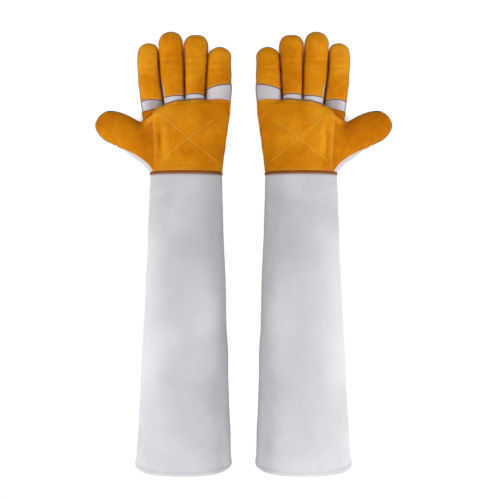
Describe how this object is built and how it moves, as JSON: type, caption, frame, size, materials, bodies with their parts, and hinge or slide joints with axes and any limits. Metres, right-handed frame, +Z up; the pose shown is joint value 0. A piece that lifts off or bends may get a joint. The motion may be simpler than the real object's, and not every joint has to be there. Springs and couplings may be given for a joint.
{
  "type": "beekeeping gloves",
  "caption": "Pair of long-sleeved leather beekeeping gloves lying palm up, with suede palm and finger patches, jointed at fingers, thumb, wrist and elbow.",
  "frame": {"origin": "middle of the underside of the pair's bounding box: between the two gloves, half way from hem to fingertips, on the surface they lie on", "axes": "+Y from the sleeve hems to the fingertips, +Z up towards the palms, +X from the left-hand glove to the right-hand glove"},
  "size_m": [0.4156, 0.599, 0.0705],
  "materials": {
    "sleeve_leather": "light grey split leather, matte",
    "hand_leather": "light grey split leather, matte",
    "suede_patch": "golden yellow suede with a short nap",
    "wrist_welt": "dark brown piping",
    "cotton_lining": "undyed brushed cotton",
    "thread": "light orange sewing thread"
  },
  "bodies": {
    "left_sleeve_upper": {"left_gauntlet_upper": "sleeve_leather", "left_gauntlet_upper_lining": "cotton_lining"},
    "left_sleeve_lower": {"left_gauntlet_lower": "sleeve_leather", "left_gauntlet_lower_lining": "cotton_lining"},
    "left_hand": {"left_gauntlet_wrist": "sleeve_leather", "left_wrist_welt": "wrist_welt", "left_palm_panel": "hand_leather", "left_back_panel": "hand_leather", "left_palm_patch": "suede_patch", "left_hand_lining": "cotton_lining"},
    "left_thumb_base": {"left_thumb_base_front": "suede_patch", "left_thumb_base_back": "hand_leather"},
    "left_thumb_tip": {"left_thumb_tip_front": "suede_patch", "left_thumb_tip_back": "hand_leather"},
    "left_index_base": {"left_index_base_stall": "hand_leather", "left_index_base_patch": "suede_patch"},
    "left_index_tip": {"left_index_tip_stall": "hand_leather", "left_index_tip_patch": "suede_patch"},
    "left_middle_base": {"left_middle_base_stall": "hand_leather", "left_middle_base_patch": "suede_patch"},
    "left_middle_tip": {"left_middle_tip_stall": "hand_leather", "left_middle_tip_patch": "suede_patch"},
    "left_ring_base": {"left_ring_base_stall": "hand_leather", "left_ring_base_patch": "suede_patch"},
    "left_ring_tip": {"left_ring_tip_stall": "hand_leather", "left_ring_tip_patch": "suede_patch"},
    "left_little_base": {"left_little_base_stall": "hand_leather", "left_little_base_patch": "suede_patch"},
    "left_little_tip": {"left_little_tip_stall": "hand_leather", "left_little_tip_patch": "suede_patch"},
    "right_sleeve_upper": {"right_gauntlet_upper": "sleeve_leather", "right_gauntlet_upper_lining": "cotton_lining"},
    "right_sleeve_lower": {"right_gauntlet_lower": "sleeve_leather", "right_gauntlet_lower_lining": "cotton_lining"},
    "right_hand": {"right_gauntlet_wrist": "sleeve_leather", "right_wrist_welt": "wrist_welt", "right_palm_panel": "hand_leather", "right_back_panel": "hand_leather", "right_palm_patch": "suede_patch", "right_hand_lining": "cotton_lining"},
    "right_thumb_base": {"right_thumb_base_front": "suede_patch", "right_thumb_base_back": "hand_leather"},
    "right_thumb_tip": {"right_thumb_tip_front": "suede_patch", "right_thumb_tip_back": "hand_leather"},
    "right_index_base": {"right_index_base_stall": "hand_leather", "right_index_base_patch": "suede_patch"},
    "right_index_tip": {"right_index_tip_stall": "hand_leather", "right_index_tip_patch": "suede_patch"},
    "right_middle_base": {"right_middle_base_stall": "hand_leather", "right_middle_base_patch": "suede_patch"},
    "right_middle_tip": {"right_middle_tip_stall": "hand_leather", "right_middle_tip_patch": "suede_patch"},
    "right_ring_base": {"right_ring_base_stall": "hand_leather", "right_ring_base_patch": "suede_patch"},
    "right_ring_tip": {"right_ring_tip_stall": "hand_leather", "right_ring_tip_patch": "suede_patch"},
    "right_little_base": {"right_little_base_stall": "hand_leather", "right_little_base_patch": "suede_patch"},
    "right_little_tip": {"right_little_tip_stall": "hand_leather", "right_little_tip_patch": "suede_patch"}
  },
  "joints": [
    {"name": "left_elbow", "type": "hinge", "parent": "left_sleeve_upper", "child": "left_sleeve_lower", "pos_m": [-0.0811, -0.1495, 0.03006], "axis": [1, 0, 0], "range_deg": [0, 80]},
    {"name": "left_wrist", "type": "hinge", "parent": "left_sleeve_lower", "child": "left_hand", "pos_m": [-0.07926, 0.08, 0.02404], "axis": [1, 0, 0], "range_deg": [-35, 50]},
    {"name": "left_thumb_swing", "type": "hinge", "parent": "left_hand", "child": "left_thumb_base", "pos_m": [-0.133, 0.1385, 0.019], "axis": [-0.158, 0.9874, 0], "range_deg": [0, 40]},
    {"name": "left_thumb_knuckle", "type": "hinge", "parent": "left_thumb_base", "child": "left_thumb_tip", "pos_m": [-0.18086, 0.16765, 0.0125], "axis": [0.4894, 0.8721, 0], "range_deg": [0, 50]},
    {"name": "left_index_knuckle", "type": "hinge", "parent": "left_hand", "child": "left_index_base", "pos_m": [-0.127, 0.212, 0.0114], "axis": [1, 0, 0], "range_deg": [-8, 75]},
    {"name": "left_index_middle_joint", "type": "hinge", "parent": "left_index_base", "child": "left_index_tip", "pos_m": [-0.132, 0.247, 0.0108], "axis": [1, 0, 0], "range_deg": [0, 80]},
    {"name": "left_middle_knuckle", "type": "hinge", "parent": "left_hand", "child": "left_middle_base", "pos_m": [-0.0964, 0.216, 0.0114], "axis": [1, 0, 0], "range_deg": [-8, 75]},
    {"name": "left_middle_middle_joint", "type": "hinge", "parent": "left_middle_base", "child": "left_middle_tip", "pos_m": [-0.09883, 0.256, 0.0108], "axis": [1, 0, 0], "range_deg": [0, 80]},
    {"name": "left_ring_knuckle", "type": "hinge", "parent": "left_hand", "child": "left_ring_base", "pos_m": [-0.0669, 0.216, 0.0114], "axis": [1, 0, 0], "range_deg": [-8, 75]},
    {"name": "left_ring_middle_joint", "type": "hinge", "parent": "left_ring_base", "child": "left_ring_tip", "pos_m": [-0.06506, 0.254, 0.0108], "axis": [1, 0, 0], "range_deg": [0, 80]},
    {"name": "left_little_knuckle", "type": "hinge", "parent": "left_hand", "child": "left_little_base", "pos_m": [-0.0343, 0.214, 0.0114], "axis": [1, 0, 0], "range_deg": [-8, 75]},
    {"name": "left_little_middle_joint", "type": "hinge", "parent": "left_little_base", "child": "left_little_tip", "pos_m": [-0.0326, 0.245, 0.0108], "axis": [1, 0, 0], "range_deg": [0, 80]},
    {"name": "right_elbow", "type": "hinge", "parent": "right_sleeve_upper", "child": "right_sleeve_lower", "pos_m": [0.0811, -0.1495, 0.03006], "axis": [1, 0, 0], "range_deg": [0, 80]},
    {"name": "right_wrist", "type": "hinge", "parent": "right_sleeve_lower", "child": "right_hand", "pos_m": [0.07926, 0.08, 0.02404], "axis": [1, 0, 0], "range_deg": [-35, 50]},
    {"name": "right_thumb_swing", "type": "hinge", "parent": "right_hand", "child": "right_thumb_base", "pos_m": [0.133, 0.1385, 0.019], "axis": [-0.158, -0.9874, 0], "range_deg": [0, 40]},
    {"name": "right_thumb_knuckle", "type": "hinge", "parent": "right_thumb_base", "child": "right_thumb_tip", "pos_m": [0.18086, 0.16765, 0.0125], "axis": [0.4894, -0.8721, 0], "range_deg": [0, 50]},
    {"name": "right_index_knuckle", "type": "hinge", "parent": "right_hand", "child": "right_index_base", "pos_m": [0.127, 0.212, 0.0114], "axis": [1, 0, 0], "range_deg": [-8, 75]},
    {"name": "right_index_middle_joint", "type": "hinge", "parent": "right_index_base", "child": "right_index_tip", "pos_m": [0.132, 0.247, 0.0108], "axis": [1, 0, 0], "range_deg": [0, 80]},
    {"name": "right_middle_knuckle", "type": "hinge", "parent": "right_hand", "child": "right_middle_base", "pos_m": [0.0964, 0.216, 0.0114], "axis": [1, 0, 0], "range_deg": [-8, 75]},
    {"name": "right_middle_middle_joint", "type": "hinge", "parent": "right_middle_base", "child": "right_middle_tip", "pos_m": [0.09883, 0.256, 0.0108], "axis": [1, 0, 0], "range_deg": [0, 80]},
    {"name": "right_ring_knuckle", "type": "hinge", "parent": "right_hand", "child": "right_ring_base", "pos_m": [0.0669, 0.216, 0.0114], "axis": [1, 0, 0], "range_deg": [-8, 75]},
    {"name": "right_ring_middle_joint", "type": "hinge", "parent": "right_ring_base", "child": "right_ring_tip", "pos_m": [0.06506, 0.254, 0.0108], "axis": [1, 0, 0], "range_deg": [0, 80]},
    {"name": "right_little_knuckle", "type": "hinge", "parent": "right_hand", "child": "right_little_base", "pos_m": [0.0343, 0.214, 0.0114], "axis": [1, 0, 0], "range_deg": [-8, 75]},
    {"name": "right_little_middle_joint", "type": "hinge", "parent": "right_little_base", "child": "right_little_tip", "pos_m": [0.0326, 0.245, 0.0108], "axis": [1, 0, 0], "range_deg": [0, 80]},
    {"name": "right_glove_lift", "type": "slide", "parent": "left_sleeve_upper", "child": "right_sleeve_upper", "axis": [0, 0, 1], "range_m": [0, 0.25]}
  ]
}
